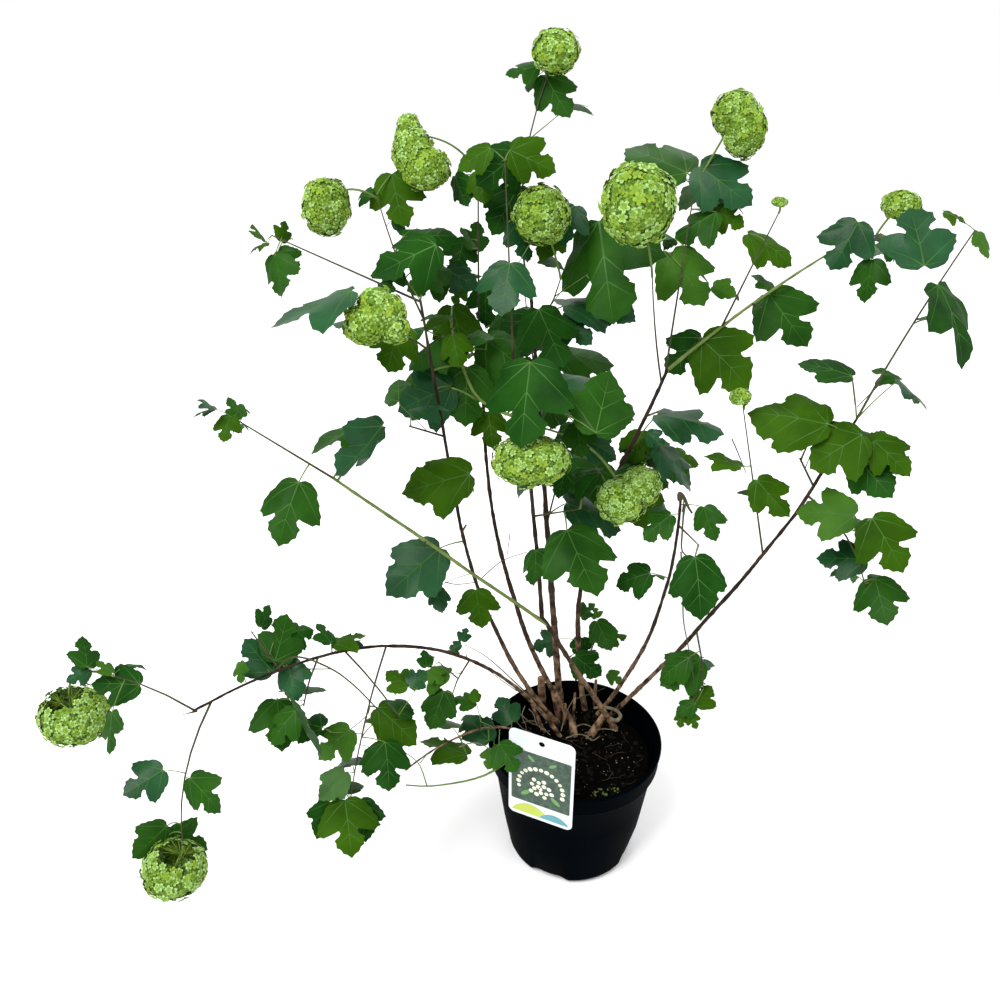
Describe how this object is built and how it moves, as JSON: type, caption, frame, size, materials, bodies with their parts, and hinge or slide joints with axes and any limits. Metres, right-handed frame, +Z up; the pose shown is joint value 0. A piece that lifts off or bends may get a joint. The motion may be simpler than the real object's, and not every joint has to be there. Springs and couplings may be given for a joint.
{
  "type": "snowball viburnum in a nursery pot",
  "caption": "Young garden shrub in a round black nursery pot: open spreading stems, lobed leaves and ball-shaped green flower heads, with a blank picture card hooked on the rim.",
  "frame": {"origin": "centre of the pot's flat underside, on the surface it stands on", "axes": "+Z up, +X to the right of a viewer who faces the label, -Y towards that viewer"},
  "size_m": [1.0776, 0.6007, 1.0888],
  "materials": {
    "pot_plastic": "blue-black moulded plastic, slightly dusty",
    "potting_soil": "moist dark compost with bark, roots and light grains",
    "label_card": null,
    "bark": "thin brown bark with lenticels, greener on the young shoots",
    "foliage": "lobed leaves, satin above and paler below",
    "blossom": "balls of small matt lime green flowers"
  },
  "bodies": {
    "root": {"pot": "pot_plastic", "soil": "potting_soil", "plant_label": "label_card", "low_arch": "bark", "low_shoot": "bark", "left_stem": "bark", "left_upper": "bark", "inner_stem": "bark", "inner_upper": "bark", "looped_stem": "bark", "centre_stem": "bark", "green_shoot": "bark", "tall_stem": "bark", "right_back_stem": "bark", "right_upper": "bark", "long_right": "bark", "broken_stem": "bark", "far_right_stem": "bark", "far_right_upper": "bark", "left_end": "foliage", "left_drop": "foliage", "arch_outer": "foliage", "arch_drape": "foliage", "under_arch": "foliage", "low_drape": "foliage", "arch_inner": "foliage", "low_shoot_tip": "foliage", "green_tip": "foliage", "green_middle": "foliage", "left_fork": "foliage", "left_side": "foliage", "left_bloom": "foliage", "left_twig": "foliage", "upper_left_bloom": "foliage", "dome_bloom": "foliage", "inner_front": "foliage", "centre_top": "foliage", "top_bloom": "foliage", "centre_bloom": "foliage", "front_bloom": "foliage", "centre_low": "foliage", "big_bloom": "foliage", "kidney_bloom": "foliage", "right_bud": "foliage", "right_middle": "foliage", "right_tip": "foliage", "right_front": "foliage", "right_under": "foliage", "heart_bloom": "foliage", "hanging_leaf": "foliage", "right_hanging": "foliage", "dark_bud": "foliage", "far_right_back": "foliage", "far_right_front": "foliage", "far_right_drape": "foliage", "far_right_twig": "foliage", "back_low": "foliage", "back_high": "foliage", "back_right": "foliage", "base_shoot": "foliage"}
  },
  "joints": []
}
